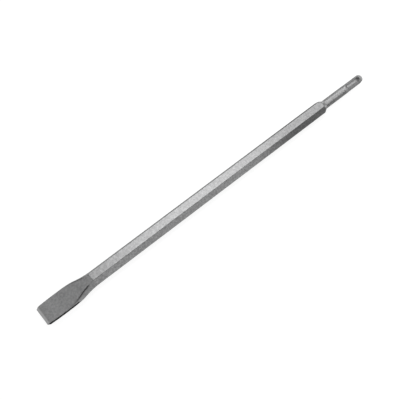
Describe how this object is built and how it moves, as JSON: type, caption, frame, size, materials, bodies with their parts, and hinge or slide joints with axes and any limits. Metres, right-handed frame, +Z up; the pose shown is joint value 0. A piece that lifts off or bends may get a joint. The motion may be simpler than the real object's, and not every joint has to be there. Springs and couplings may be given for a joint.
{
  "type": "flat chisel",
  "caption": "Long flat chisel for a rotary hammer: a hexagonal steel bar forged to a spade-like blade, with a slotted round drive shank.",
  "frame": {"origin": "on the surface that the chisel lies on, below the middle of its length and width", "axes": "+X from the cutting edge along the bar towards the shank's tip, +Z up and square to the blade's faces, +Y across the blade"},
  "size_m": [0.44, 0.022, 0.0143],
  "materials": {
    "forged_steel": "bare hardened steel with a fine blasted grey surface, a little brighter on the bar's flats and the shank"
  },
  "bodies": {
    "root": {"flat_chisel": "forged_steel"}
  },
  "joints": []
}
